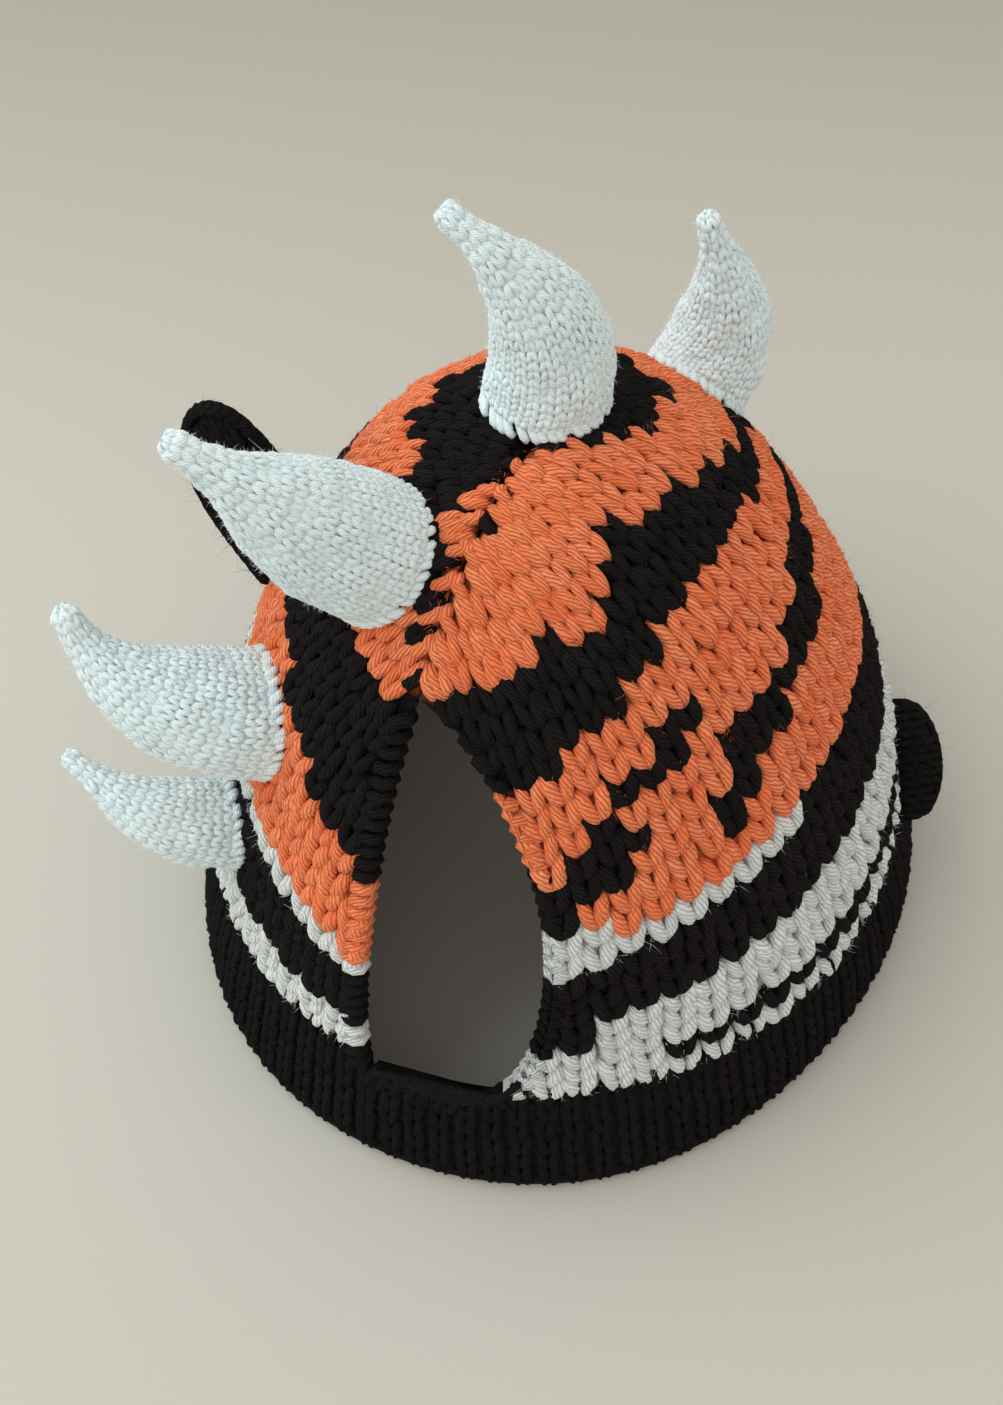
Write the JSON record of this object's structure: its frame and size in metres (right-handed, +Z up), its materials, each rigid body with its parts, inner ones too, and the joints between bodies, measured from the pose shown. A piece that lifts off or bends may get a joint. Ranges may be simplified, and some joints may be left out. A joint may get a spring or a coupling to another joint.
{
  "type": "tea cosy",
  "caption": "Hollow knitted dome that fits over a round teapot, with a ribbed hem, slots for spout and handle, stuffed horns, an ear flap and a side pad.",
  "frame": {"origin": "middle of the outline at the hem's underside, on the surface the cosy stands on", "axes": "+Z up through the crown, -Y towards the handle slot, +Y towards the spout slot, the sewn seam in the YZ plane"},
  "size_m": [0.197, 0.2131, 0.2241],
  "materials": {
    "body_knit": "chunky stranded knitting, orange with black stripes, a white band and a black ribbed hem",
    "horn_knit": "fine white stocking stitch, stuffed",
    "flap_knit": "fuzzy black knitting"
  },
  "bodies": {
    "root": {"panel_right": "body_knit", "panel_left": "body_knit", "horn_crown": "horn_knit", "horn_back": "horn_knit", "horn_upper": "horn_knit", "horn_middle": "horn_knit", "horn_lower": "horn_knit", "ear": "flap_knit", "side_pad": "flap_knit"}
  },
  "joints": []
}
